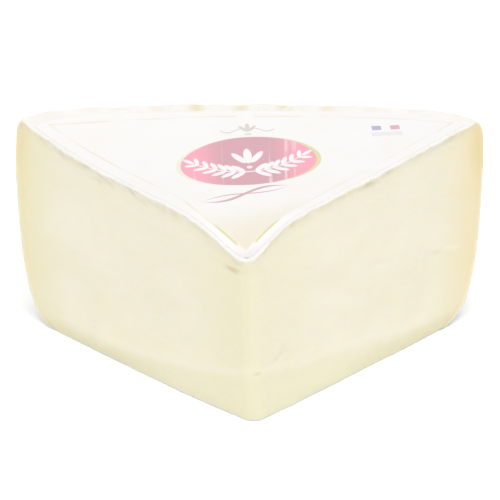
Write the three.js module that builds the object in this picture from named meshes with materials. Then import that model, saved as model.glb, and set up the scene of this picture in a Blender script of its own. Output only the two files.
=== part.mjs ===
// A quarter of a soft-ripened cheese, cut from a rounded-square loaf, with a paper label on its top.
// Units are millimetres and +Z is up. The point of the wedge, which was the middle of the loaf,
// faces -Y, the two cut faces stand at 45 degrees to the Y axis, and the rind side faces +Y.
// The origin is on the resting face, halfway between the point and the rind side.
import * as THREE from "three";

// Driving dimensions of the loaf and of the cut.
const HALF_SIDE = 85; // from the middle of the loaf to the widest place of one side
const SQUARENESS = 6.5; // exponent of the loaf's outline: 2 is a circle, higher is squarer
const HALF_ANGLE = Math.PI / 4; // from the wedge's centreline to each cut face

// The rind side, as sizes of its section at the cut faces.
const SHOULDER_REACH = 4.5; // how far in from the widest place the top begins to turn down
const SHOULDER_DROP = 18; // how far down the shoulder ends and the upright wall begins
const TUCK_HEIGHT = 48; // below this the wall curves inwards to the resting face
const TUCK_REACH = 13.2; // how far in from the widest place the resting face begins

// The top slumps towards the point, and the left cut edge has sunk further than the right one.
const POINT_HEIGHT = 56;
const LEFT_SHELF_HEIGHT = 64; // height of the left edge between its slump and its rise
const LEFT_RIM_HEIGHT = 73.4;
const LEFT_SLUMP_LENGTH = 17;
const LEFT_RISE_POWER = 4; // how late the left edge climbs to its rim
const RIGHT_SHELF_HEIGHT = 62.6; // height that the right edge would have at the point, unslumped
const RIGHT_RIM_HEIGHT = 71.4;
const RIGHT_SLUMP_LENGTH = 13;
const CROWN_HEIGHT = 2.1; // how much the middle of the rim stands above its two ends

// The front edge leans: the blade wandered to the right on its way down.
const LEAN_AT_BASE = 0.9;
const LEAN_PER_HEIGHT = -0.043;
const LEAN_SPREAD = 45;

// The paper label.
const LABEL_CUT_INSET = 1.5; // from each cut face
const LABEL_RIM_INSET = 7.5; // from the widest place of the rind side
const LABEL_POINT_RADIUS = 3; // the label's clipped front corner
const LABEL_GAP = 0.4; // clear space between rind and paper
const PAPER_THICKNESS = 0.3;

// How finely the surfaces are divided.
const TURN_STEPS = 36;
const TOP_STEPS = 16;
const TOP_SPACING = 1.4; // above 1 the steps are closer together where the top slumps
const SHOULDER_STEPS = 6;
const TUCK_STEPS = 9;
const LABEL_TURN_STEPS = 20;
const LABEL_REACH_STEPS = 18;

const LOAF_CENTRE_Y = -HALF_SIDE / 2;
const CHEESE = new THREE.MeshStandardMaterial({ color: 0xf2ecd7, roughness: 0.55, metalness: 0 });
const PAPER = new THREE.MeshStandardMaterial({ color: 0xfaf7f1, roughness: 0.5, metalness: 0 });

// Distance from the loaf's middle to its widest outline, in the direction turned from +Y by turn.
function outlineReach(turn) {
  const across = Math.abs(Math.sin(turn)) ** SQUARENESS;
  const along = Math.abs(Math.cos(turn)) ** SQUARENESS;
  return HALF_SIDE * (across + along) ** (-1 / SQUARENESS);
}

// A reach given at the cut faces, as it is at another turn: the outlines are scaled copies.
function scaledReach(reach, turn) {
  return (reach * outlineReach(turn)) / outlineReach(HALF_ANGLE);
}

// Height of the left cut edge, at a share of the way from the point to the rim.
function leftEdgeHeight(share) {
  const slump = Math.exp(-(((share * outlineReach(HALF_ANGLE)) / LEFT_SLUMP_LENGTH) ** 2));
  const climb = share ** LEFT_RISE_POWER;
  return (
    LEFT_SHELF_HEIGHT +
    (LEFT_RIM_HEIGHT - LEFT_SHELF_HEIGHT) * climb -
    (LEFT_SHELF_HEIGHT - POINT_HEIGHT) * slump
  );
}

// Height of the right cut edge, at a share of the way from the point to the rim.
function rightEdgeHeight(share) {
  const slump = Math.exp(-(((share * outlineReach(HALF_ANGLE)) / RIGHT_SLUMP_LENGTH) ** 2));
  return (
    THREE.MathUtils.lerp(RIGHT_SHELF_HEIGHT, RIGHT_RIM_HEIGHT, share) -
    (RIGHT_SHELF_HEIGHT - POINT_HEIGHT) * slump
  );
}

// Height of the top, shoulder included, at a distance and turn from the loaf's middle.
function topHeight(distance, turn) {
  const share = distance / outlineReach(turn);
  const across = (turn + HALF_ANGLE) / (2 * HALF_ANGLE);
  const level = THREE.MathUtils.lerp(leftEdgeHeight(share), rightEdgeHeight(share), across);
  const crown = CROWN_HEIGHT * share ** 2 * Math.cos((turn * Math.PI) / (2 * HALF_ANGLE));
  const shoulder = scaledReach(SHOULDER_REACH, turn);
  const beyond = distance - (outlineReach(turn) - shoulder);
  const bent = THREE.MathUtils.clamp(beyond / shoulder, 0, 1);
  return level + crown - SHOULDER_DROP * (1 - Math.sqrt(1 - bent * bent));
}

// The wedge's section at one turn, from the middle of the top out over the rind and back under
// to the middle of the base, as (distance, height) pairs.
function section(turn) {
  const reach = outlineReach(turn);
  const shoulder = scaledReach(SHOULDER_REACH, turn);
  const tuck = scaledReach(TUCK_REACH, turn);
  const points = [];
  for (let i = 0; i < TOP_STEPS; i++) {
    const distance = (reach - shoulder) * (i / TOP_STEPS) ** TOP_SPACING;
    points.push(new THREE.Vector2(distance, topHeight(distance, turn)));
  }
  for (let i = 0; i <= SHOULDER_STEPS; i++) {
    const angle = ((Math.PI / 2) * i) / SHOULDER_STEPS;
    const distance = reach - shoulder * (1 - Math.sin(angle));
    points.push(new THREE.Vector2(distance, topHeight(distance, turn)));
  }
  for (let i = 0; i <= TUCK_STEPS; i++) {
    const angle = ((Math.PI / 2) * i) / TUCK_STEPS;
    const distance = reach - tuck * (1 - Math.cos(angle));
    points.push(new THREE.Vector2(distance, TUCK_HEIGHT * (1 - Math.sin(angle))));
  }
  points.push(new THREE.Vector2(0, 0));
  return points;
}

// A point of the wedge, with the front edge's lean.
function place(distance, turn, height) {
  const lean = LEAN_AT_BASE + LEAN_PER_HEIGHT * height;
  const shift = lean * Math.exp(-((distance / LEAN_SPREAD) ** 2));
  const x = distance * Math.sin(turn) + shift;
  return new THREE.Vector3(x, LOAF_CENTRE_Y + distance * Math.cos(turn), height);
}

function geometryOf(points, triangles) {
  const geometry = new THREE.BufferGeometry().setFromPoints(points);
  geometry.setIndex(triangles.flat());
  return geometry;
}

// The cheese: its section swept from one cut face to the other, and the two faces closed.
function cheeseGeometry() {
  const points = [];
  const triangles = [];
  const last = section(0).length - 1;
  const index = (column, row) => {
    const shared = row === 0 || row === last; // every column meets on the front edge
    return (shared ? 0 : column) * (last + 1) + row;
  };
  for (let column = 0; column <= TURN_STEPS; column++) {
    const turn = THREE.MathUtils.lerp(-HALF_ANGLE, HALF_ANGLE, column / TURN_STEPS);
    section(turn).forEach((p) => points.push(place(p.x, turn, p.y)));
  }
  for (let column = 0; column < TURN_STEPS; column++) {
    for (let row = 0; row < last; row++) {
      const a = index(column, row);
      const b = index(column + 1, row);
      const c = index(column + 1, row + 1);
      const d = index(column, row + 1);
      if (a !== b) triangles.push([a, b, c]);
      if (c !== d) triangles.push([a, c, d]);
    }
  }
  [
    [0, -HALF_ANGLE, true],
    [TURN_STEPS, HALF_ANGLE, false],
  ].forEach(([column, turn, turned]) => {
    THREE.ShapeUtils.triangulateShape(section(turn), []).forEach(([a, b, c]) => {
      const face = turned ? [a, c, b] : [a, b, c];
      triangles.push(face.map((row) => index(column, row)));
    });
  });
  return geometryOf(points, triangles);
}

// The label: a thin slab that follows the top, clipped at its front corner.
function labelGeometry() {
  const points = [];
  const triangles = [];
  const setBack = LABEL_CUT_INSET / Math.sin(HALF_ANGLE);
  const layers = [LABEL_GAP, LABEL_GAP + PAPER_THICKNESS];
  const index = (column, row, layer) =>
    (layer * (LABEL_TURN_STEPS + 1) + column) * (LABEL_REACH_STEPS + 1) + row;
  layers.forEach((lift) => {
    for (let column = 0; column <= LABEL_TURN_STEPS; column++) {
      const turn = THREE.MathUtils.lerp(-HALF_ANGLE, HALF_ANGLE, column / LABEL_TURN_STEPS);
      const reach = outlineReach(turn) - LABEL_RIM_INSET - setBack * Math.cos(turn);
      for (let row = 0; row <= LABEL_REACH_STEPS; row++) {
        const step = THREE.MathUtils.lerp(LABEL_POINT_RADIUS, reach, row / LABEL_REACH_STEPS);
        const x = step * Math.sin(turn);
        const y = setBack + step * Math.cos(turn);
        const distance = Math.hypot(x, y);
        const around = Math.atan2(x, y);
        points.push(place(distance, around, topHeight(distance, around) + lift));
      }
    }
  });
  const quad = (a, b, c, d) => triangles.push([a, b, c], [a, c, d]);
  for (let column = 0; column < LABEL_TURN_STEPS; column++) {
    for (let row = 0; row < LABEL_REACH_STEPS; row++) {
      const corners = [
        [column, row],
        [column, row + 1],
        [column + 1, row + 1],
        [column + 1, row],
      ];
      quad(...corners.map(([c, r]) => index(c, r, 0)));
      quad(...corners.reverse().map(([c, r]) => index(c, r, 1)));
    }
  }
  const wall = (from, to) =>
    quad(index(...from, 0), index(...to, 0), index(...to, 1), index(...from, 1));
  for (let column = 0; column < LABEL_TURN_STEPS; column++) {
    wall([column, 0], [column + 1, 0]);
    wall([column + 1, LABEL_REACH_STEPS], [column, LABEL_REACH_STEPS]);
  }
  for (let row = 0; row < LABEL_REACH_STEPS; row++) {
    wall([0, row + 1], [0, row]);
    wall([LABEL_TURN_STEPS, row], [LABEL_TURN_STEPS, row + 1]);
  }
  return geometryOf(points, triangles);
}

function namedMesh(name, geometry, material) {
  const mesh = new THREE.Mesh(geometry, material);
  mesh.name = name;
  return mesh;
}

const wedge = new THREE.Group();
wedge.add(namedMesh("cheese_wedge", cheeseGeometry(), CHEESE));
wedge.add(namedMesh("top_label", labelGeometry(), PAPER));

export default wedge;
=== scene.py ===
"""A wedge of soft white-rind cheese with a printed paper label, dressed and lit for the studio.

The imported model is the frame: everything is built in metres, in the frame's own axes, with +Z up,
the wedge's point towards -Y and its rind side towards +Y. The cheese is one closed mesh, rind and
cut faces together, and the label is a thin sheet of paper that follows its top.
"""

import logging
import math
from dataclasses import dataclass, field
from enum import Enum

import bmesh
import bpy
import numpy as np
from mathutils import Matrix, Vector, noise


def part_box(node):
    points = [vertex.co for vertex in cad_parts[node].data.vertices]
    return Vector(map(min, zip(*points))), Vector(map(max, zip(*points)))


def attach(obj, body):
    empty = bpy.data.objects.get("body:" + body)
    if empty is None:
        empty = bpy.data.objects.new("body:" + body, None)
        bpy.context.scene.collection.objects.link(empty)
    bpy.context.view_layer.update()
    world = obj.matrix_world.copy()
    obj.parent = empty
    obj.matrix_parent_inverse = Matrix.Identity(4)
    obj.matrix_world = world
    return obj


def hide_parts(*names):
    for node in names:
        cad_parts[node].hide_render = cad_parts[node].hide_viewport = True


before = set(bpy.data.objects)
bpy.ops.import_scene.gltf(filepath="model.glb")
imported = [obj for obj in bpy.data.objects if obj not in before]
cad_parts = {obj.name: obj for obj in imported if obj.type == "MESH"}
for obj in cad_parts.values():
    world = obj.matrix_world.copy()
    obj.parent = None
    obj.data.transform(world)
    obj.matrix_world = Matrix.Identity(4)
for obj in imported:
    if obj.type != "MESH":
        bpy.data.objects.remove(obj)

MM = 0.001
BODY = "root"
TOUCHING = 1e-6  # how near to a side of the cube or the square a vertex is on it
SIDE_LIGHT = 1.095  # how brightly the studio lights an upright face
RIM_LIGHT = 1.22  # the same for the rounded rim
TOP_LIGHT = 1.24  # and for the label
log = logging.getLogger("cheese")

Socket = bpy.types.NodeSocket
Value = float | Socket
Colour = tuple[float, float, float]


class CutFace(Enum):
    """The two faces that the knife made, with the side of the point that each lies on."""

    LEFT = -1
    RIGHT = 1

    @property
    def outward(self) -> np.ndarray:
        """The face's outward direction."""
        return np.array((self.value, -1.0, 0.0)) / math.sqrt(2)


class Skin(Enum):
    """Which finish a face of the cheese takes, as the index of its material."""

    RIND = 0
    PASTE = 1


def linear(red: int, green: int, blue: int, light: float = 1.0) -> Colour:
    """Turn a colour mixed on a screen into the light that shaders work in.

    Args:
        red: Red from 0 to 255.
        green: Green from 0 to 255.
        blue: Blue from 0 to 255.
        light: How brightly the studio lights the surface; the colour is what it looks like there.

    Returns:
        The surface's own colour as three linear values from 0 to 1.
    """
    def one(value: int) -> float:
        """One channel, by the usual screen curve."""
        share = value / 255
        curved = share / 12.92 if share <= 0.04045 else ((share + 0.055) / 1.055) ** 2.4
        return curved / light

    return one(red), one(green), one(blue)


def ease(value: np.ndarray, low: float, high: float) -> np.ndarray:
    """Rise smoothly from 0 at low to 1 at high.

    Args:
        value: Where to read the rise.
        low: The last value that gives 0.
        high: The first value that gives 1.

    Returns:
        The rise at each value.
    """
    share = np.clip((value - low) / (high - low), 0, 1)
    return share * share * (3 - 2 * share)


def hump(value: np.ndarray, centre: float | np.ndarray, width: float) -> np.ndarray:
    """A soft hump of height 1 about a centre.

    Args:
        value: Where to read the hump.
        centre: The place of its top.
        width: How far from the centre it has fallen to about a third.

    Returns:
        The hump's height at each value.
    """
    return np.exp(-(((value - centre) / width) ** 2))


def rough(places: np.ndarray, size: float | tuple[float, float, float], seed: float,
          octaves: int = 2) -> np.ndarray:
    """Read a fixed, uneven field, about -1 to 1, at many places.

    Args:
        places: One row of x, y, z for each place.
        size: The size of the field's features, one number or one for each axis.
        seed: Moves the field, so that two uses of it differ.
        octaves: How many finer layers it has.

    Returns:
        The field's value at each place.
    """
    scaled = places / np.broadcast_to(np.asarray(size, float), 3) + seed
    return np.array([noise.fractal(Vector(p), 1.0, 2.0, octaves) for p in scaled]) * 1.6


def round_corner(x: np.ndarray, y: np.ndarray,
                 radius: float | np.ndarray) -> tuple[np.ndarray, np.ndarray]:
    """Round a square corner, with its sides at 45 degrees to Y, to a quarter circle.

    Args:
        x: Places across, from the corner.
        y: Places along, from the corner.
        radius: The circle's radius.

    Returns:
        The places, drawn in to the circle.
    """
    right = (y + x) / math.sqrt(2) - radius
    left = (y - x) / math.sqrt(2) - radius
    square = np.maximum(-right, -left)
    length = np.maximum(np.hypot(right, left), 1e-9)
    drawn = np.where((right < 0) & (left < 0), square / length, 1.0)
    right = right * drawn + radius
    left = left * drawn + radius
    return (right - left) / math.sqrt(2), (right + left) / math.sqrt(2)


def edge_drop(near_cut: np.ndarray, reach: float = 1.3 * MM, depth: float = 0.4 * MM) -> np.ndarray:
    """How far the top bends down close to a cut face.

    Args:
        near_cut: Distances from the nearer cut face.
        reach: How far in from the face the bend begins.
        depth: The drop at the face itself.

    Returns:
        The drop at each place.
    """
    return depth * np.clip(1 - near_cut / reach, 0, 1) ** 2


def set_places(bm: bmesh.types.BMesh, places: np.ndarray) -> None:
    """Move every vertex to its own place."""
    for vert, place in zip(bm.verts, places):
        vert.co = place


def settle_order(bm: bmesh.types.BMesh) -> None:
    """Number the faces by their vertices, so that every run leaves them in the same order."""
    bm.verts.index_update()
    ordered = sorted(bm.faces, key=lambda face: sorted(vert.index for vert in face.verts))
    for index, face in enumerate(ordered):
        face.index = index
    bm.faces.sort()


def stand(name: str, data: bpy.types.ID) -> bpy.types.Object:
    """Put new data in the scene as an object."""
    item = bpy.data.objects.new(name, data)
    bpy.context.scene.collection.objects.link(item)
    return item


def stand_mesh(name: str, bm: bmesh.types.BMesh) -> bpy.types.Object:
    """Turn a finished mesh into an object in the scene."""
    mesh = bpy.data.meshes.new(name)
    bm.to_mesh(mesh)
    bm.free()
    return stand(name, mesh)


@dataclass
class LoafForm:
    """The wedge's nominal surfaces, as heights and reaches in metres.

    A place is given by its distance from the loaf's middle, which is the wedge's point, and by
    its turn from +Y, which is negative on the left.
    """

    point_y: float
    half_side: float
    squareness: float = 6.5
    half_angle: float = math.pi / 4
    shoulder_reach: float = 4.5 * MM
    shoulder_drop: float = 18 * MM
    tuck_height: float = 48 * MM
    tuck_reach: float = 13.2 * MM
    foot_height: float = 8 * MM
    left_foot: float = 2.4 * MM
    right_foot: float = 4.5 * MM
    point_height: float = 56 * MM
    left_shelf: float = 64 * MM
    left_rim: float = 73.4 * MM
    left_slump: float = 17 * MM
    left_rise_power: float = 4.0
    right_shelf: float = 62.6 * MM
    right_rim: float = 71.4 * MM
    right_slump: float = 13 * MM
    crown: float = 2.1 * MM
    lean_at_base: float = 0.9 * MM
    lean_per_height: float = -0.043
    lean_spread: float = 45 * MM

    def reach(self, turn: np.ndarray) -> np.ndarray:
        """Distance from the point to the widest outline, in the direction of a turn."""
        across = np.abs(np.sin(turn)) ** self.squareness
        along = np.abs(np.cos(turn)) ** self.squareness
        return self.half_side * (across + along) ** (-1 / self.squareness)

    @property
    def cut_length(self) -> float:
        """Length of a cut face at its widest."""
        return float(self.reach(np.array(self.half_angle)))

    def scaled(self, reach: float, turn: np.ndarray) -> np.ndarray:
        """A reach given at the cut faces, as it is at another turn."""
        return reach * self.reach(turn) / self.cut_length

    def top(self, distance: np.ndarray, turn: np.ndarray) -> np.ndarray:
        """Height of the top, shoulder included.

        Args:
            distance: Distances from the point.
            turn: Turns from +Y.

        Returns:
            The height at each place.
        """
        reach = self.reach(turn)
        share = np.clip(distance / reach, 0, 1)
        left = self.left_shelf + (self.left_rim - self.left_shelf) * share ** self.left_rise_power
        along = share * self.cut_length
        left -= (self.left_shelf - self.point_height) * np.exp(-(along / self.left_slump) ** 2)
        right = self.right_shelf + (self.right_rim - self.right_shelf) * share
        right -= (self.right_shelf - self.point_height) * np.exp(-(along / self.right_slump) ** 2)
        across = (turn + self.half_angle) / (2 * self.half_angle)
        level = left + (right - left) * across
        level += self.crown * share ** 2 * np.cos(turn * math.pi / (2 * self.half_angle))
        shoulder = self.scaled(self.shoulder_reach, turn)
        bent = np.clip((distance - reach + shoulder) / shoulder, 0, 1)
        return level - self.shoulder_drop * (1 - np.sqrt(1 - bent * bent))

    def foot(self, height: np.ndarray, turn: np.ndarray) -> np.ndarray:
        """How much further in the rind side turns, close to the resting face.

        Args:
            height: Heights above the resting face.
            turn: Turns from +Y.

        Returns:
            The extra reach inwards at each place.
        """
        across = (turn + self.half_angle) / (2 * self.half_angle)
        most = self.left_foot + (self.right_foot - self.left_foot) * across
        return most * np.clip(1 - height / self.foot_height, 0, 1) ** 2

    def width(self, height: np.ndarray, turn: np.ndarray) -> np.ndarray:
        """Distance from the point to the rind side at a height.

        Args:
            height: Heights above the resting face.
            turn: Turns from +Y.

        Returns:
            The distance at each place.
        """
        reach = self.reach(turn)
        low = np.clip(1 - height / self.tuck_height, 0, 1)
        high = np.clip((height - self.top(reach, turn)) / self.shoulder_drop, 0, 1)
        tuck = self.scaled(self.tuck_reach, turn) * (1 - np.sqrt(1 - low * low))
        shoulder = self.scaled(self.shoulder_reach, turn) * (1 - np.sqrt(1 - high * high))
        return reach - tuck - shoulder - self.foot(height, turn)

    def fan(self, u: np.ndarray, v: np.ndarray) -> tuple[np.ndarray, np.ndarray]:
        """Open a unit square into a fan, with its corner at the point.

        Args:
            u: Places along the square's first side, which becomes the right cut edge.
            v: Places along its second side, which becomes the left one.

        Returns:
            Shares of the way out from the point, and turns.
        """
        share = np.maximum(u, v)
        ratio = np.minimum(u, v) / np.maximum(share, 1e-9)
        return share, self.half_angle * (1 - ratio) * np.where(u >= v, 1, -1)

    def place(self, distance: np.ndarray, turn: np.ndarray, height: np.ndarray) -> np.ndarray:
        """Turn distances, turns and heights into places in the frame, with the point's lean."""
        lean = self.lean_at_base + self.lean_per_height * height
        x = distance * np.sin(turn) + lean * np.exp(-((distance / self.lean_spread) ** 2))
        return np.stack([x, self.point_y + distance * np.cos(turn), height], -1)


@dataclass(frozen=True)
class Mark:
    """A small place on a cut face where the paste is dented, torn or stained, in millimetres.

    along is measured from the point, and height from the resting face, or down from the top if
    from_top is set. depth is inwards. stain is how brown the place is, or how pale if negative;
    some marks are real stains, some painted shade and some painted highlights.
    """

    face: CutFace
    along: float
    height: float
    length: float
    tall: float
    depth: float
    stain_and_painted_light: float
    from_top: bool = False
    slant: float = 0.0

    def closeness(self, along: np.ndarray, height: np.ndarray, under: np.ndarray) -> np.ndarray:
        """Squared distance from the mark's middle, where 1 is its edge.

        Args:
            along: Distances from the point, in millimetres.
            height: Heights, in millimetres.
            under: How far below the top each place is, in millimetres.

        Returns:
            The squared distance at each place.
        """
        level = (under if self.from_top else height) - self.height
        level = level + self.slant * (along - self.along)
        return ((along - self.along) / self.length) ** 2 + (level / self.tall) ** 2


MARKS = (
    Mark(CutFace.LEFT, 14.2, 7.6, 3.4, 0.8, 0.1, 0.25, from_top=True, slant=-0.2),
    # A brown tear under the point, with painted shadow in its crack.
    Mark(CutFace.LEFT, 6.7, 5.8, 3.2, 0.8, 0.3, 1.0, from_top=True, slant=-0.3),
    # Painted shade under the rounded point, where the top overhangs the paste.
    Mark(CutFace.LEFT, 2.0, 3.6, 6.0, 3.6, 0.0, 0.25, from_top=True),
    Mark(CutFace.LEFT, 18.0, 4.6, 7.0, 1.8, 0.15, 0.25, from_top=True),
    Mark(CutFace.LEFT, 33.0, 3.0, 1.3, 1.5, 0.4, 0.25, from_top=True),
    Mark(CutFace.LEFT, 38.6, 2.8, 2.5, 0.9, 0.3, 0.25, from_top=True),
    Mark(CutFace.LEFT, 46.5, 3.4, 2.6, 0.8, 0.3, 0.25, from_top=True, slant=0.2),
    Mark(CutFace.LEFT, 52.8, 2.1, 2.2, 0.8, 0.5, 0.4, from_top=True, slant=0.4),
    Mark(CutFace.LEFT, 63.2, 3.2, 2.2, 1.0, 0.4, 0.4, from_top=True, slant=0.3),
    Mark(CutFace.LEFT, 68.5, 4.2, 2.1, 0.9, 0.4, 0.45, from_top=True),
    Mark(CutFace.LEFT, 74.0, 1.6, 1.8, 0.9, 0.3, 0.25, from_top=True),
    Mark(CutFace.LEFT, 86.0, 2.8, 3.0, 0.9, 0.3, 0.2, from_top=True),
    # A dark line over a pale one: the painted shade and painted highlight of a small scratch.
    Mark(CutFace.LEFT, 67.0, 36.9, 4.0, 0.6, 0.4, 0.4, slant=0.05),
    Mark(CutFace.LEFT, 66.6, 35.5, 3.4, 0.8, 0.0, -1.0, slant=0.05),
    Mark(CutFace.LEFT, 41.0, 24.0, 1.2, 0.7, 0.3, 0.2),
    Mark(CutFace.LEFT, 88.0, 21.0, 2.4, 0.6, 0.3, 0.2),
    # Painted shade under the rounded point, where the top overhangs the paste.
    Mark(CutFace.RIGHT, 3.0, 4.0, 6.0, 3.6, 0.0, 0.25, from_top=True),
    Mark(CutFace.RIGHT, 20.2, 2.1, 1.8, 1.0, 0.4, 0.45, from_top=True),
    Mark(CutFace.RIGHT, 41.5, 1.9, 2.4, 0.9, 0.3, 0.3, from_top=True),
    Mark(CutFace.RIGHT, 54.0, 2.5, 3.4, 1.0, 0.6, 0.5, from_top=True),
    Mark(CutFace.RIGHT, 62.5, 1.8, 3.0, 0.8, 0.3, 0.2, from_top=True),
    Mark(CutFace.RIGHT, 76.6, 1.4, 1.6, 0.9, 0.4, 0.25, from_top=True),
    Mark(CutFace.RIGHT, 84.5, 2.2, 4.2, 0.9, 0.2, 0.3, from_top=True),
    Mark(CutFace.RIGHT, 91.0, 1.7, 2.3, 0.9, 0.4, 0.25, from_top=True),
    Mark(CutFace.RIGHT, 2.3, 16.3, 1.5, 0.7, 0.5, 0.7),
    Mark(CutFace.RIGHT, 10.2, 18.6, 3.2, 0.9, 0.4, 0.4, slant=-0.3),
    Mark(CutFace.RIGHT, 13.2, 20.8, 1.2, 1.6, 0.3, 0.3),
    # Two more scratches, each painted as a shade line over a painted highlight.
    Mark(CutFace.RIGHT, 58.5, 36.0, 4.6, 0.6, 0.4, 0.4, slant=0.25),
    Mark(CutFace.RIGHT, 58.5, 34.5, 4.2, 0.9, 0.0, -0.9, slant=0.25),
    Mark(CutFace.RIGHT, 84.0, 30.3, 6.0, 0.6, 0.4, 0.35, slant=0.25),
    Mark(CutFace.RIGHT, 92.5, 29.2, 7.0, 0.9, 0.0, -0.8, slant=0.25),
    Mark(CutFace.RIGHT, 74.0, 27.8, 7.0, 0.6, 0.25, 0.2, slant=0.1),
    Mark(CutFace.RIGHT, 40.0, 28.7, 14.0, 3.6, 0.0, -0.7, slant=0.34),
)


@dataclass
class Spots:
    """The cheese's vertices, one value for each: where it lies and which faces it is on.

    Lengths are in millimetres. under and inside are 0 away from the cut faces.
    """

    places: np.ndarray
    share: np.ndarray  # from the point at 0 to the rind side at 1
    off_cuts: np.ndarray  # from a cut face at 0 towards the other one
    along: np.ndarray  # distance from the point
    height: np.ndarray
    under: np.ndarray  # distance below the top
    inside: np.ndarray  # distance from the rind side
    behind: np.ndarray  # distance in from the widest outline
    on_cut: dict[CutFace, np.ndarray]
    on_side: np.ndarray
    on_top: np.ndarray
    on_base: np.ndarray

    @property
    def cut(self) -> np.ndarray:
        """Whether each is on a cut face."""
        return self.on_cut[CutFace.LEFT] | self.on_cut[CutFace.RIGHT]


@dataclass
class CheeseWedge:
    """The cheese: a block of fine squares bent into the wedge, then given its rind and its cut."""

    form: LoafForm
    along_squares: int = 104
    upright_squares: int = 84
    rim_share: float = 0.943
    tuck_share: float = 0.733
    wall_share: float = 0.818
    front_radius: float = 3.4 * MM
    rind_thickness: float = 0.9
    point_thickness: float = 0.3
    rib_pitch: float = 14.1
    rib_place: float = -2.5
    rib_depth: float = 0.4
    rib_weakens: tuple[float, float] = (20.0, 34.0)  # how far aside the ribs begin to, and have
    rib_ends: tuple[float, float] = (52.0, 68.0)
    rib_runs_out: tuple[float, float] = (5.5, 11.0)  # how far in over the top
    rim_width: float = 12.0
    label_edge: tuple[float, float] = (5.0, 7.5)
    mat_pitch: float = 5.0
    mat_depth: float = 0.35
    spreads: dict[CutFace, float] = field(
        default_factory=lambda: {CutFace.LEFT: 1.6, CutFace.RIGHT: 0.8})
    spread_places: dict[CutFace, float] = field(
        default_factory=lambda: {CutFace.LEFT: 36.0, CutFace.RIGHT: 18.0})
    spread_width: float = 42.0
    spread_height: float = 20.0
    ledge_at_point: float = 17.1
    ledge_falls: dict[CutFace, float] = field(
        default_factory=lambda: {CutFace.LEFT: 58.0, CutFace.RIGHT: 90.0})
    rim_band: float = 0.45  # how near to the rind the edges of the cut faces are rounded
    foot_band: float = 0.4
    front_share: float = 0.016

    def block(self) -> bmesh.types.BMesh:
        """Make a unit cube and cut its edges, one direction after another, into fine squares.

        Returns:
            The cube, with its cut faces marked by their material.
        """
        bm = bmesh.new()
        bmesh.ops.create_cube(bm, size=1, matrix=Matrix.Translation((0.5, 0.5, 0.5)))
        squares = (self.along_squares, self.along_squares, self.upright_squares)
        for axis, count in enumerate(squares):
            edges = [e for e in bm.edges if abs(e.verts[0].co[axis] - e.verts[1].co[axis]) > 0.5]
            bmesh.ops.subdivide_edges(bm, edges=edges, cuts=count - 1, use_grid_fill=True)
        for face in bm.faces:
            middle = face.calc_center_median()
            on_cut = min(middle.x, middle.y) < 10 * TOUCHING
            face.material_index = (Skin.PASTE if on_cut else Skin.RIND).value
            face.smooth = True
        bm.verts.index_update()
        return bm

    def top_line(self, share: np.ndarray, turn: np.ndarray) -> tuple[np.ndarray, np.ndarray]:
        """Follow the top from the point to halfway round the shoulder.

        Args:
            share: How far along, from 0 to 1.
            turn: Turns from +Y.

        Returns:
            Distances from the point, and heights.
        """
        reach = self.form.reach(turn)
        shoulder = self.form.scaled(self.form.shoulder_reach, turn)
        flat = np.clip(share / self.rim_share, 0, 1)
        bend = np.clip((share - self.rim_share) / (1 - self.rim_share), 0, 1) * math.pi / 4
        distance = flat * (reach - shoulder) + shoulder * np.sin(bend)
        return distance, self.form.top(distance, turn)

    def side_line(self, share: np.ndarray, turn: np.ndarray) -> tuple[np.ndarray, np.ndarray]:
        """Follow the rind side from the resting face to halfway round the shoulder.

        Args:
            share: How far along, from 0 to 1.
            turn: Turns from +Y.

        Returns:
            Distances from the point, and heights.
        """
        form = self.form
        reach = form.reach(turn)
        foot = form.top(reach, turn)
        low = np.clip(share / self.tuck_share, 0, 1)
        middle = np.clip((share - self.tuck_share) / (self.wall_share - self.tuck_share), 0, 1)
        high = np.clip((share - self.wall_share) / (1 - self.wall_share), 0, 1)
        rise = math.pi / 2 * (1 - low)
        bend = math.pi / 2 - high * math.pi / 4
        distance = reach - form.scaled(form.tuck_reach, turn) * (1 - np.cos(rise))
        distance -= form.scaled(form.shoulder_reach, turn) * (1 - np.sin(bend))
        height = form.tuck_height * (1 - np.sin(rise)) + middle * (foot - form.tuck_height)
        height = np.where(high > 0, form.top(distance, turn), height)
        return distance - form.foot(height, turn), height

    def ledge(self, face: CutFace, along: np.ndarray) -> np.ndarray:
        """Height, in millimetres, of the soft ridge that runs low along a cut face."""
        return self.ledge_at_point * np.exp(-along / self.ledge_falls[face])

    def bend(self, bm: bmesh.types.BMesh) -> Spots:
        """Bend the cube into the smooth wedge.

        Args:
            bm: The cube.

        Returns:
            Where each of its vertices has gone.
        """
        form = self.form
        u, v, w = np.array([vert.co for vert in bm.verts]).T
        larger, turn = form.fan(u, v)
        share = np.interp(larger, (0, 0.06, 0.94, 1), (0, 0.03, 0.97, 1))
        rise = np.interp(w, (0, 0.03, 0.86, 1), (0, 0.01, 0.955, 1))

        top_far, top_high = self.top_line(share, turn)
        side_far, side_high = self.side_line(rise, turn)
        end_far, end_high = self.top_line(np.ones_like(share), turn)
        distance = share * side_far + rise * (top_far - share * end_far)
        height = share * side_high + rise * (top_high - share * end_high)
        x, y = round_corner(distance * np.sin(turn), distance * np.cos(turn), self.front_radius)
        near_cut = (y - np.abs(x)) / math.sqrt(2)
        distance, turn = np.hypot(x, y), np.arctan2(x, y)
        height -= rise * edge_drop(near_cut)
        places = form.place(distance, turn, height)
        set_places(bm, places)

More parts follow.
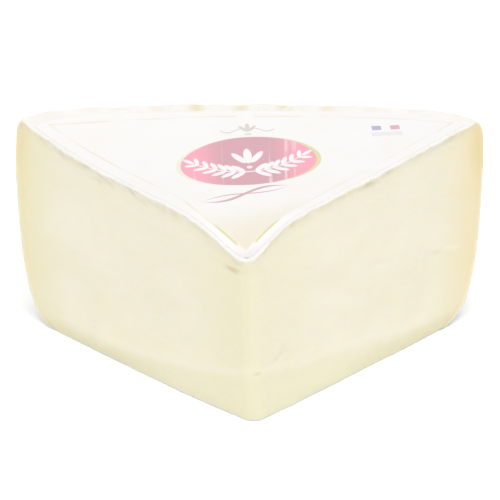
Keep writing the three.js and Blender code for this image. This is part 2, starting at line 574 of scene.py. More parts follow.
        on_cut = {CutFace.LEFT: u < TOUCHING, CutFace.RIGHT: v < TOUCHING}
        cut = on_cut[CutFace.LEFT] | on_cut[CutFace.RIGHT]
        under = np.where(cut, (form.top(distance, turn) - height) / MM, 0)
        inside = np.where(cut, (form.width(height, turn) - distance) / MM, 0)
        return Spots(
            places=places / MM,
            share=share,
            off_cuts=np.minimum(u, v),
            along=distance / MM,
            height=height / MM,
            under=np.clip(under, 0, None),
            inside=np.clip(inside, 0, None),
            behind=(form.reach(turn) - distance) / MM,
            on_cut=on_cut,
            on_side=larger > 1 - TOUCHING,
            on_top=w > 1 - TOUCHING,
            on_base=w < TOUCHING,
        )

    def cut_relief(self, face: CutFace, spots: Spots) -> np.ndarray:
        """How far a cut face stands out from its plane.

        Args:
            face: Which cut face.
            spots: The cheese's vertices.

        Returns:
            The relief in millimetres, outwards.
        """
        places, along, height = spots.places, spots.along, spots.height
        under, inside = spots.under, spots.inside
        seed = 3.1 * face.value
        line = np.stack([along, np.full_like(along, seed), np.zeros_like(along)], -1)
        wavy = under + 0.45 * rough(line, 7, seed) + 0.2 * rough(line, 2.2, seed)
        below = wavy - self.rind_thickness - self.point_thickness * (1 - ease(along, 3, 15))
        torn = 0.5 + 0.5 * np.clip(rough(line, 11, seed + 5), -1, 1)

        # The rind's lip, the groove under it, the face's slight bulge, and the rind side's lip.
        relief = 0.35 * (1 - ease(below, -0.3, 0.5)) - 0.25 * (1 - ease(under, 0, 0.6))
        relief -= (0.05 + 0.2 * torn) * hump(below, 1.4, 1.5)
        relief += 0.5 * np.sin(np.clip(height / 60, 0, 1) * math.pi) * ease(inside, 0, 25)
        relief += 0.22 * (1 - ease(inside + 0.3 * rough(places, 6, seed), 0.5, 1.4))
        relief -= 0.3 * hump(inside, 2.6, 1.6)

        # The ledge, the uneven paste and the blade's fine level lines.
        sway = height - self.ledge(face, along) + 0.8 * rough(line, 16, seed + 9)
        relief += 0.3 * hump(sway, 0.6, 3.2) * ease(inside, 0, 12)
        relief -= 0.15 * hump(sway, -4.5, 2.5)
        relief += 0.25 * rough(places, 19, seed) + 0.07 * rough(places, 4, seed, 3)
        relief += 0.06 * rough(np.stack([along, height, 0 * along], -1), (16, 1.5, 1), seed)
        for mark in (m for m in MARKS if m.face is face):
            far = mark.closeness(along, height, under)
            relief -= mark.depth * np.exp(-far)
            relief += 0.3 * mark.depth * np.exp(-((np.sqrt(far) - 1.9) / 0.5) ** 2)
        relief *= ease(along, 0, 5)
        spread = self.spreads[face] * hump(along, self.spread_places[face], self.spread_width)
        return relief + spread * (1 - ease(height, 0, self.spread_height))

    def valleys(self, spots: Spots) -> np.ndarray:
        """How deep each vertex lies in a furrow between two ribs of the rind.

        Args:
            spots: The cheese's vertices.

        Returns:
            The depth from 0 to 1.
        """
        x = spots.places[:, 0]
        on_rim = spots.on_side | (spots.on_top & (spots.behind < self.rim_width))
        wander = 0.9 * rough(spots.places, (40, 40, 14), 6.0)
        phase = (x - self.rib_place + wander) / self.rib_pitch
        wave = 0.5 + 0.5 * np.cos(2 * math.pi * phase)
        fading = np.clip(0.9 + 0.2 * rough(spots.places, 22, 8.0), 0.75, 1)
        fading *= 1 - 0.6 * ease(np.abs(x), *self.rib_weakens)
        fading *= 1 - ease(np.abs(x), *self.rib_ends)
        return wave ** 1.5 * fading * on_rim * (1 - ease(spots.behind, *self.rib_runs_out))

    def rind_relief(self, spots: Spots, valley: np.ndarray) -> np.ndarray:
        """How far the rind stands out from its nominal surface, calmer under the label.

        Args:
            spots: The cheese's vertices.
            valley: How deep each lies in a furrow, from 0 to 1.

        Returns:
            The relief in millimetres, outwards, and 0 off the rind.
        """
        places = spots.places
        relief = 0.25 * rough(places, 9, 2.0) + 0.09 * rough(places, 3, 4.0, 3)
        relief -= self.rib_depth * valley
        under_label = spots.on_top * ease(spots.behind, *self.label_edge)
        relief *= (1 - 0.95 * under_label) * ease(spots.height, 0.2, 4)
        return np.where(spots.cut | spots.on_base, 0, relief)

    def mat_relief(self, spots: Spots) -> np.ndarray:
        """How far the lines of a draining mat are pressed up into the resting face."""
        lines = 0.5 + 0.5 * np.cos(2 * math.pi * spots.places[:, 0] / self.mat_pitch)
        inner = ease(spots.behind, 14, 20) * ease(spots.off_cuts, 0.02, 0.08)
        return np.where(spots.on_base & ~spots.cut, self.mat_depth * lines * inner, 0)

    def readings(self, spots: Spots, valley: np.ndarray) -> dict[str, np.ndarray]:
        """What the finishes need to know of each vertex.

        Args:
            spots: The cheese's vertices.
            valley: How deep each lies in a furrow, from 0 to 1.

        Returns:
            The readings, by the names that the finishes use.
        """
        left, right = spots.on_cut[CutFace.LEFT], spots.on_cut[CutFace.RIGHT]
        stain_and_painted_light = np.zeros_like(spots.under)
        for mark in MARKS:
            far = mark.closeness(spots.along, spots.height, spots.under)
            stain_and_painted_light += mark.stain_and_painted_light * np.exp(-far) * (spots.on_cut[mark.face] - 0.5 * (left & right))
        ledge = np.where(left, self.ledge(CutFace.LEFT, spots.along),
                         self.ledge(CutFace.RIGHT, spots.along))
        return {
            "under_top": spots.under,
            "from_side": spots.inside,
            "above_base": np.where(spots.cut, spots.height, 0),
            "furrow": valley,
            "from_point": spots.along,
            "stain_and_painted_light": stain_and_painted_light,
            "over_ledge": np.where(spots.cut, spots.height - ledge, 0),
        }

    def soften_edges(self, bm: bmesh.types.BMesh, spots: Spots) -> None:
        """Round the edges that the knife left, less at the foot than at the rind.

        Args:
            bm: The cheese.
            spots: Its vertices.
        """
        near_rind = (spots.under < self.rim_band) | (spots.inside < self.rim_band)
        rim = spots.cut & near_rind
        front = spots.share < self.front_share
        foot = spots.cut & (spots.height < self.foot_band)
        bm.verts.ensure_lookup_table()
        for chosen, rounds, factor in ((rim, 3, 0.5), (front, 3, 0.5), (foot, 1, 0.3)):
            verts = [bm.verts[i] for i in np.flatnonzero(chosen)]
            for _ in range(rounds):
                bmesh.ops.smooth_vert(bm, verts=verts, factor=factor, use_axis_x=True,
                                      use_axis_y=True, use_axis_z=chosen is rim)

    def build(self) -> bpy.types.Object:
        """Make the cheese, with the readings that its finishes need.

        Returns:
            The cheese's object.
        """
        bm = self.block()
        spots = self.bend(bm)
        bm.normal_update()
        outward = np.array([vert.normal for vert in bm.verts])
        valley = self.valleys(spots)
        moved = self.rind_relief(spots, valley)[:, None] * outward
        for face, on_face in spots.on_cut.items():
            moved += (self.cut_relief(face, spots) * on_face)[:, None] * face.outward
        moved[:, 2] += self.mat_relief(spots)
        places = (spots.places + moved) * MM
        places[:, 2] = np.maximum(places[:, 2], 0)
        set_places(bm, places)
        self.soften_edges(bm, spots)

        bm.normal_update()
        cheese = stand_mesh("cheese", bm)
        for name, values in self.readings(spots, valley).items():
            layer = cheese.data.attributes.new(name, "FLOAT", "POINT")
            layer.data.foreach_set("value", np.ascontiguousarray(values, np.float32))
        return cheese


@dataclass
class TopLabel:
    """The paper label: a thin sheet that follows the top of the cheese."""

    form: LoafForm
    squares: int = 96
    cut_inset: float = 0.8 * MM
    rim_inset: float = 8.8 * MM
    corner_radius: float = 3.0 * MM
    lift: float = 0.12 * MM
    thickness: float = 0.06 * MM
    tucked: float = 0.12 * MM  # how far the outermost edge dips below the rest
    settled: tuple[float, float] = (1.5 * MM, 6 * MM)  # where the paper comes up off the rind

    def build(self) -> bpy.types.Object:
        """Make the label's mesh.

        Returns:
            The label's object.
        """
        form = self.form
        bm = bmesh.new()
        bmesh.ops.create_grid(bm, x_segments=self.squares, y_segments=self.squares, size=0.5,
                              matrix=Matrix.Translation((0.5, 0.5, 0)))
        u, v, _ = np.array([vert.co for vert in bm.verts]).T
        row = 1 / self.squares
        u, v = (np.interp(w, (0, row, 1 - row, 1), (0, 0.001, 0.999, 1)) for w in (u, v))
        larger, turn = form.fan(u, v)
        set_back = self.cut_inset / math.sin(form.half_angle)
        reach = form.reach(turn) - form.scaled(self.rim_inset, turn) - set_back * np.cos(turn)
        step = larger * reach
        x, y = round_corner(step * np.sin(turn), step * np.cos(turn), self.corner_radius)
        y = y + set_back
        distance = np.hypot(x, y)
        around = np.arctan2(x, y)
        mm = np.stack([x, y, 0 * x], -1) / MM
        near_cut = (y - np.abs(x)) / math.sqrt(2)
        inner = ease(near_cut, *self.settled) * ease(1 - larger, 0, 0.05)
        ripple = 0.1 * rough(mm, 26, 11.0) + 0.05 * rough(mm, 9, 13.0)
        lift = 0.3 * self.lift + (0.7 * self.lift + np.maximum(ripple, -0.06) * MM) * inner
        edge = (u < TOUCHING) | (v < TOUCHING) | (larger > 1 - TOUCHING)
        lift -= edge_drop(near_cut) + np.where(edge, self.tucked, 0)
        set_places(bm, form.place(distance, around, form.top(distance, around) + lift))
        bmesh.ops.recalc_face_normals(bm, faces=bm.faces)
        if sum(face.normal.z for face in bm.faces) < 0:
            bmesh.ops.reverse_faces(bm, faces=bm.faces)
        bmesh.ops.solidify(bm, geom=bm.faces[:], thickness=-self.thickness)
        settle_order(bm)
        bmesh.ops.recalc_face_normals(bm, faces=bm.faces)
        for face in bm.faces:
            face.smooth = abs(face.normal.z) > 0.5
        for edge in bm.edges:
            edge.smooth = edge.calc_face_angle(0.0) < math.radians(40)
        return stand_mesh("paper_label", bm)


class Finish:
    """A material in the making: short calls that add its nodes and join them.

    Lengths inside a finish are in millimetres, measured in the piece's own object coordinates.
    """

    def __init__(self, name: str) -> None:
        """Start a material that has one shader and nothing else.

        Args:
            name: The material's name.
        """
        self.material = bpy.data.materials.new(name)
        self.material.use_nodes = True
        self.tree = self.material.node_tree
        self.tree.nodes.clear()
        self.shader = self.add("ShaderNodeBsdfPrincipled")
        output = self.add("ShaderNodeOutputMaterial")
        self.tree.links.new(self.shader.outputs["BSDF"], output.inputs["Surface"])
        metres = self.add("ShaderNodeTexCoord").outputs["Object"]
        scale = self.add("ShaderNodeVectorMath", operation="SCALE")
        self.feed(scale.inputs[0], metres)
        scale.inputs["Scale"].default_value = 1 / MM
        self.place = scale.outputs["Vector"]

    def add(self, kind: str, **settings: object) -> bpy.types.Node:
        """Add a node and set its options.

        Args:
            kind: The node's type.
            **settings: Its options, by name.

        Returns:
            The node.
        """
        node = self.tree.nodes.new(kind)
        for name, value in settings.items():
            setattr(node, name, value)
        return node

    def feed(self, socket: Socket, value: Value | Colour) -> None:
        """Join a socket to another one, or set it to a fixed value.

        Args:
            socket: The input to feed.
            value: A socket to join it to, a number, or a colour.
        """
        if isinstance(value, bpy.types.NodeSocket):
            self.tree.links.new(value, socket)
        elif socket.type == "RGBA":
            socket.default_value = (*value, 1.0)
        else:
            socket.default_value = value

    def set(self, **inputs: Value | Colour) -> None:
        """Feed the shader's own sockets, named in lower case with underscores."""
        for name, value in inputs.items():
            words = name.replace("_", " ").lower()
            socket = next(s for s in self.shader.inputs if s.name.lower() == words)
            self.feed(socket, value)

    def math(self, operation: str, *values: Value) -> Socket:
        """Work out one number from others.

        Args:
            operation: What to do, such as ADD.
            *values: What to do it to.

        Returns:
            The answer.
        """
        node = self.add("ShaderNodeMath", operation=operation)
        for socket, value in zip(node.inputs, values):
            self.feed(socket, value)
        return node.outputs["Value"]

    def rise(self, value: Value, low: Value, high: Value) -> Socket:
        """Rise smoothly from 0 at low to 1 at high; with low above high, fall.

        Args:
            value: Where to read the rise.
            low: The value that gives 0.
            high: The value that gives 1.

        Returns:
            The rise.
        """
        node = self.add("ShaderNodeMapRange", interpolation_type="SMOOTHSTEP")
        for name, item in (("Value", value), ("From Min", low), ("From Max", high)):
            self.feed(node.inputs[name], item)
        return node.outputs["Result"]

    def blend(self, share: Value, first: Value | Colour, second: Value | Colour,
              strength: float = 1.0) -> Socket:
        """Mix two colours.

        Args:
            share: How much of the second there is.
            first: The first colour.
            second: The second colour.
            strength: The most that there can be of the second.

        Returns:
            The mixed colour.
        """
        if strength < 1:
            share = self.times(share, strength)
        node = self.add("ShaderNodeMix", data_type="RGBA")
        colours = [s for s in node.inputs if s.type == "RGBA"]
        self.feed(node.inputs["Factor"], share)
        self.feed(colours[0], first)
        self.feed(colours[1], second)
        return next(s for s in node.outputs if s.type == "RGBA")

    def most(self, first: Value, *others: Value) -> Value:
        """The largest of several numbers."""
        for value in others:
            first = self.math("MAXIMUM", first, value)
        return first

    def times(self, first: Value, *others: Value) -> Value:
        """The product of several numbers."""
        for value in others:
            first = self.math("MULTIPLY", first, value)
        return first

    def scaled(self, value: Value, factor: Value, start: Value) -> Socket:
        """A number times a factor, on top of a start."""
        return self.math("MULTIPLY_ADD", value, factor, start)

    def reading(self, name: str) -> Socket:
        """One of the readings kept on the mesh."""
        return self.add("ShaderNodeAttribute", attribute_name=name).outputs["Fac"]

    def moved(self, centre: tuple[float, float, float] = (0, 0, 0), turn: float = 0,
              size: tuple[float, float, float] = (1, 1, 1)) -> Socket:
        """Places measured from a centre, along turned axes, in units of a size.

        Args:
            centre: The new origin.
            turn: How far the axes are turned about Z, in degrees.
            size: The new unit along each axis.

        Returns:
            The places.
        """
        node = self.add("ShaderNodeMapping", vector_type="TEXTURE")
        self.feed(node.inputs["Vector"], self.place)
        node.inputs["Location"].default_value = centre
        node.inputs["Rotation"].default_value = (0, 0, math.radians(turn))
        node.inputs["Scale"].default_value = size
        return node.outputs["Vector"]

    def axes(self, centre: tuple[float, float, float] = (0, 0, 0),
             turn: float = 0) -> tuple[Socket, Socket]:
        """Places across and along, from a centre and along turned axes."""
        node = self.add("ShaderNodeSeparateXYZ")
        self.feed(node.inputs["Vector"], self.moved(centre, turn))
        return node.outputs["X"], node.outputs["Y"]

    def cloud(self, size: float | tuple[float, float, float], detail: float = 2.0,
              seed: float = 0.0) -> Socket:
        """A soft uneven pattern, from 0 to 1 and about a half on average.

        Args:
            size: The size of its features, one number or one for each axis.
            detail: How many finer layers it has.
            seed: Moves the pattern, so that two uses of it differ.

        Returns:
            The pattern.
        """
        sizes = size if isinstance(size, tuple) else (size,) * 3
        node = self.add("ShaderNodeTexNoise")
        self.feed(node.inputs["Vector"], self.moved((seed * 7.3, seed * 3.1, seed), size=sizes))
        node.inputs["Scale"].default_value = 1
        node.inputs["Detail"].default_value = detail
        return node.outputs["Fac"]

    def bump(self, *layers: tuple[Value, float]) -> None:
        """Give the shader a fine relief.

        Args:
            *layers: Each layer's pattern and its height in millimetres.
        """
        normal = None
        for pattern, height in layers:
            node = self.add("ShaderNodeBump")
            node.inputs["Strength"].default_value = 1
            node.inputs["Distance"].default_value = height * MM
            self.feed(node.inputs["Height"], pattern)
            if normal is not None:
                self.feed(node.inputs["Normal"], normal)
            normal = node.outputs["Normal"]
        self.feed(self.shader.inputs["Normal"], normal)


@dataclass(frozen=True)
class BloomyRind:
    """The white mould that covers the outside of the cheese."""

    white: Colour = linear(249, 247, 242, RIM_LIGHT)
    shade: Colour = linear(243, 240, 231, RIM_LIGHT)
    tan: Colour = linear(241, 234, 212, RIM_LIGHT)
    amber: Colour = linear(236, 222, 184, RIM_LIGHT)
    roughness: float = 0.92

    def tinted(self, finish: Finish) -> Socket:
        """Colour the rind: white, shaded in clouds, and tan where the mould is thin.

        Args:
            finish: The finish to colour.

        Returns:
            The colour.
        """
        patch = finish.rise(finish.cloud(9, 3, 1), 0.42, 0.68)
        colour = finish.blend(patch, self.white, self.shade, 0.6)
        furrow = finish.reading("furrow")
        broken = finish.rise(finish.cloud(5, 2, 2), 0.2, 0.45)
        thin = finish.times(finish.rise(furrow, 0.15, 0.75), broken)
        colour = finish.blend(thin, colour, self.tan, 0.85)
        core = finish.times(finish.rise(furrow, 0.55, 1.0), broken)
        colour = finish.blend(core, colour, self.amber, 0.85)
        specks = finish.rise(finish.cloud(2.4, 2, 4), 0.62, 0.8)
        return finish.blend(specks, colour, self.tan, 0.2)

    def material(self) -> bpy.types.Material:
        """Make the rind's material."""
        finish = Finish("bloomy_rind")
        finish.set(base_color=self.tinted(finish), roughness=self.roughness,
                   specular_ior_level=0.15, subsurface_weight=0.25, subsurface_scale=1.5 * MM,
                   subsurface_radius=(1.0, 0.8, 0.6), sheen_weight=0.15, sheen_roughness=0.6)
        finish.bump((finish.cloud(3.2, 3, 5), 0.3), (finish.cloud(0.6, 2, 6), 0.06))
        return finish.material


class Wandering:
    """The paste's readings, with level lines that wander a little instead of running true."""

    def __init__(self, finish: Finish) -> None:
        """Set up a slow and a quick wander for one finish."""
        self.finish = finish
        self.slow = finish.math("SUBTRACT", finish.cloud(6, 3, 1), 0.5)
        self.quick = finish.math("SUBTRACT", finish.cloud(1.6, 2, 2), 0.5)

    def read(self, name: str, far: float, near: float = 0.0) -> Socket:
        """Read one of them.

        Args:
            name: The reading.
            far: How far the slow wander moves it, in millimetres.
            near: How far the quick wander moves it.

        Returns:
            The wandering reading.
        """
        value = self.finish.scaled(self.slow, far, self.finish.reading(name))
        return self.finish.scaled(self.quick, near, value)


@dataclass(frozen=True)
class CutPaste:
    """The moist cream paste of the cut faces, with the rind seen edge on around it."""

    cream: Colour = linear(240, 235, 213, SIDE_LIGHT)
    pale: Colour = linear(244, 240, 222, SIDE_LIGHT)
    deep: Colour = linear(238, 233, 202, SIDE_LIGHT)
    ripe: Colour = linear(242, 229, 188, SIDE_LIGHT)
    olive: Colour = linear(239, 231, 192, SIDE_LIGHT)
    foot_shade: Colour = linear(233, 226, 193, SIDE_LIGHT)
    amber: Colour = linear(236, 219, 170, SIDE_LIGHT)
    creamline_and_shadow_tint: Colour = linear(235, 230, 210, SIDE_LIGHT)
    brown: Colour = linear(231, 223, 193, SIDE_LIGHT)
    stain_and_painted_light: Colour = linear(223, 210, 170, SIDE_LIGHT)
    rind: BloomyRind = BloomyRind()
    rind_thickness: float = 0.8
    point_thickness: float = 0.1
    side_thickness: float = 0.9
    foot_thickness: float = 0.5
    ripe_reach: float = 24.0

    def body(self, wander: Wandering, left: Socket, smear: Socket) -> Socket:
        """Colour the paste away from its edges: cream, clouded, and deeper low down, which is
        painted shade below the ledge, with a painted highlight along the ledge's top.

        Args:
            wander: The readings.
            left: 1 on the left face and 0 on the right one.
            smear: Where the blade smeared the paste, from 0 to 1.

        Returns:
            The colour.
        """
        finish = wander.finish
        cloudy = finish.rise(finish.cloud((22, 22, 14), 2, 3), 0.35, 0.68)
        colour = finish.blend(cloudy, self.cream, self.pale, 0.5)
        colour = finish.blend(smear, colour, self.pale, 0.35)
        front = finish.rise(wander.read("from_point", 7.0), 32.0, 3.0)
        front = finish.times(front, finish.scaled(left, 0.4, 0.45))
        colour = finish.blend(front, colour, self.deep)
        # Painted shade: below the ledge the face turns under, so the paste there is coloured
        # deeper.
        low = finish.rise(wander.read("over_ledge", 4.0, 0.6), 3.0, -6.0)
        colour = finish.blend(low, colour, self.deep, 0.6)
        # Painted highlight: a pale line along the top of the ledge's bulge.
        over = wander.read("over_ledge", 3.0)
        lip = finish.times(finish.rise(over, -2.6, 0.4), finish.rise(over, 4.0, 0.4))
        return finish.blend(lip, colour, self.pale, 0.4)

    def ripened(self, wander: Wandering, left: Socket, colour: Socket) -> Socket:
        """Deepen the colour towards the rind side, most of all at its upper corners.

        Args:
            wander: The readings.
            left: 1 on the left face and 0 on the right one.
            colour: The colour so far.

        Returns:
            The new colour.
        """
        finish = wander.finish
        ripe = finish.rise(wander.read("from_side", 7.0, 0.8), self.ripe_reach, 0.0)
        high = finish.rise(finish.reading("above_base"), 4.0, 24.0)
        ripe = finish.times(ripe, finish.scaled(high, 0.4, 0.6))
        colour = finish.blend(ripe, colour, finish.blend(left, self.ripe, self.olive))
        corner = finish.times(finish.rise(wander.read("from_side", 4.0, 0.6), 10.0, 1.0),
                              finish.rise(wander.read("under_top", 9.0, 0.6), 32.0, 6.0),
                              finish.scaled(left, -0.4, 0.9))
        return finish.blend(corner, colour, self.amber)

    def marked(self, wander: Wandering, colour: Socket) -> Socket:
        """Tint the paste: creamline and painted shadow just below the rind, painted shade along the
        foot, and the marks' stains, painted shade and painted highlights.

        Args:
            wander: The readings.
            colour: The colour so far.

        Returns:
            The new colour.
        """
        finish = wander.finish
        # Partly the real creamline, partly painted shadow under the rind's overhanging lip.
        creamline_and_shadow_band = finish.rise(wander.read("under_top", 2.6, 1.6), 6.0, 1.2)
        colour = finish.blend(creamline_and_shadow_band, colour, self.creamline_and_shadow_tint, 0.55)
        # Brown patches: partly browned paste, partly painted shade in small gaps under the rind's
        # lip.
        brown_and_gap_shade = finish.times(finish.rise(wander.read("under_top", 3.0, 2.0), 4.6, 1.6),
                               finish.rise(finish.cloud((6, 6, 7), 3, 7), 0.46, 0.62))
        colour = finish.blend(brown_and_gap_shade, colour, self.brown, 0.7)
        # Painted shade: the paste is coloured darker along the foot, away from the point, where the
        # tuck and the floor shade it.
        base = finish.times(finish.rise(wander.read("above_base", 4.0, 0.8), 7.0, 1.5),
                            finish.rise(finish.reading("from_point"), 24.0, 62.0))
        colour = finish.blend(base, colour, self.foot_shade, 0.8)
        # The marks: real stains, with painted shade and painted highlights where the marks list
        # them.
        stain_and_painted_light = finish.scaled(wander.quick, 0.3, finish.reading("stain_and_painted_light"))
        colour = finish.blend(finish.rise(stain_and_painted_light, 0.1, 1.0), colour, self.stain_and_painted_light)
        return finish.blend(finish.rise(stain_and_painted_light, -0.1, -0.9), colour, self.pale)

    def skin(self, wander: Wandering) -> Socket:
        """1 where the rind is seen edge on: along the top, the rind side and the foot."""
        finish = wander.finish
        point = finish.rise(finish.reading("from_point"), 15.0, 3.0)
        thick = finish.scaled(point, self.point_thickness, self.rind_thickness)
        below = finish.math("SUBTRACT", wander.read("under_top", 2.2, 1.3), thick)
        top = finish.rise(below, 0.3, -0.2)
        side = finish.rise(wander.read("from_side", 0.5, 0.2), self.side_thickness + 0.5,
                           self.side_thickness - 0.5)
        side = finish.times(side, finish.rise(finish.reading("under_top"), 6.0, 16.0))
        foot = finish.rise(wander.read("above_base", 0.5, 0.4), self.foot_thickness + 0.2,
                           self.foot_thickness - 0.2)
        return finish.most(top, side, finish.times(foot, 0.5))

    def material(self) -> bpy.types.Material:
        """Make the paste's material."""
        finish = Finish("cut_paste")
        wander = Wandering(finish)
        x, _ = finish.axes()
        left = finish.rise(x, 3.0, -3.0)
        smear = finish.rise(finish.cloud((24, 24, 2.2), 3, 4), 0.5, 0.75)
        colour = self.body(wander, left, smear)
        colour = self.ripened(wander, left, colour)
        colour = self.marked(wander, colour)
        skin = self.skin(wander)
        streak = finish.rise(finish.cloud((5, 5, 0.7), 2, 9), 0.42, 0.66)
        edge_on = finish.blend(streak, self.rind.white, self.rind.shade, 0.6)
        colour = finish.blend(skin, colour, edge_on)
        dull = finish.scaled(smear, 0.08, finish.scaled(skin, 0.35, 0.46))
        finish.set(base_color=colour, roughness=dull, specular_ior_level=0.35,
                   subsurface_weight=0.45, subsurface_scale=3.0 * MM,
                   subsurface_radius=(1.0, 0.75, 0.4))
        finish.bump((finish.cloud((9, 9, 1.8), 2, 10), 0.07), (finish.cloud(0.9, 3, 11), 0.08))
        return finish.material


@dataclass(frozen=True)
class Press:
    """Prints plain shapes, each 1 on the ink and 0 outside it, with a slightly soft edge."""

    finish: Finish
    soft: float = 0.12

    def petal(self, x: Value, y: Value, centre: tuple[float, float], half: tuple[float, float],
              turn: float = 0) -> Socket:
        """A filled oval.

        Args:
            x: Places across.
            y: Places along.
            centre: The oval's centre.
            half: Half its length and half its width.
            turn: How far it is turned, in degrees.

        Returns:
            The print.
        """
        finish = self.finish
        c, s = math.cos(math.radians(turn)), math.sin(math.radians(turn))
        dx = finish.math("SUBTRACT", x, centre[0])
        dy = finish.math("SUBTRACT", y, centre[1])
        along = finish.scaled(dx, c / half[0], finish.times(dy, s / half[0]))
        side = finish.scaled(dy, c / half[1], finish.times(dx, -s / half[1]))
        far = finish.math("ADD", finish.times(along, along), finish.times(side, side))
        margin = 2 * self.soft / min(half)
        return finish.rise(far, 1 + margin, 1 - margin)

    def stroke(self, away: Value, half_width: Value) -> Socket:
        """A line, from how far each place is from its middle and its half width."""
        far = self.finish.math("SUBTRACT", self.finish.math("ABSOLUTE", away), half_width)
        return self.finish.rise(far, self.soft, -self.soft)

    def within(self, value: Value, low: float, high: float) -> Socket:
        """A stripe between two values."""
        return self.finish.times(self.finish.rise(value, low - self.soft, low + self.soft),
                                 self.finish.rise(value, high + self.soft, high - self.soft))

    def sprig(self, x: Value, y: Value) -> Socket:
        """Two leafy branches that part at the bottom, below three upright petals.

        Args:
            x: Places across.
            y: Places along.

        Returns:
            The print.
        """
        finish = self.finish
        out = finish.math("ABSOLUTE", x)
        foot = -6.2
        bend = 0.026
        reach = 17.0
        stem_y = finish.scaled(finish.times(out, out), bend, foot)
        stem = self.stroke(finish.math("SUBTRACT", y, stem_y), 0.28)
        marks = [finish.times(stem, finish.rise(out, reach + 0.2, reach - 0.2))]
        for pair in range(6):
            start = 1.6 + 2.9 * pair
            slope = math.degrees(math.atan(2 * bend * start))
            length = 2.9 - 0.16 * pair
            for side in (-1, 1):
                turn = slope + side * 42
                dx = length * 1.05 * math.cos(math.radians(turn))
                dy = length * 1.05 * math.sin(math.radians(turn))
                centre = (start + dx, foot + bend * start ** 2 + dy)
                marks.append(self.petal(out, y, centre, (length, length * 0.34), turn))
        marks.append(self.petal(out, y, (reach + 1.9, 3.0), (2.2, 0.75), 42))
        marks.append(self.petal(x, y, (0, 3.4), (4.4, 1.35), 90))
        marks.append(self.petal(out, y, (2.9, 2.5), (3.7, 1.15), 58))
        marks.append(self.petal(x, y, (0, -3.4), (0.9, 0.9)))
        return finish.most(*marks)


